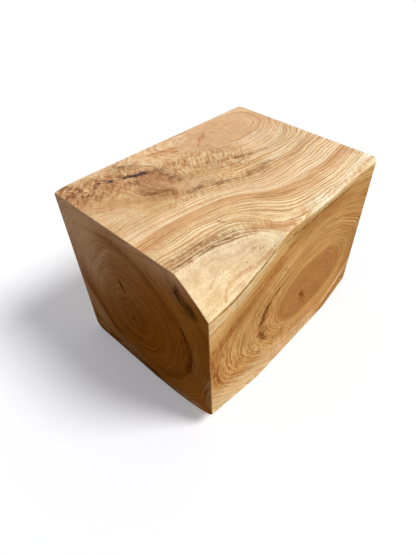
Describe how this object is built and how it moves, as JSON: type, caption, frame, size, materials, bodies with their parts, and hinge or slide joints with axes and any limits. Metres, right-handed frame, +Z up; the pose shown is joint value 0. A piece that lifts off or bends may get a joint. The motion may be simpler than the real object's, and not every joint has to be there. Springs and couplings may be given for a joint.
{
  "type": "solid wood block",
  "caption": "Solid wooden block sawn from one log, with the natural rounded outside left along some edges, used as a low stool or side table.",
  "frame": {"origin": "on the floor, under the middle of the block", "axes": "+X along the grain towards the far end, +Y towards the back long side, +Z up"},
  "size_m": [0.4498, 0.33, 0.325],
  "materials": {
    "wood": "satin, sanded and oiled"
  },
  "bodies": {
    "root": {"block": "wood"}
  },
  "joints": []
}
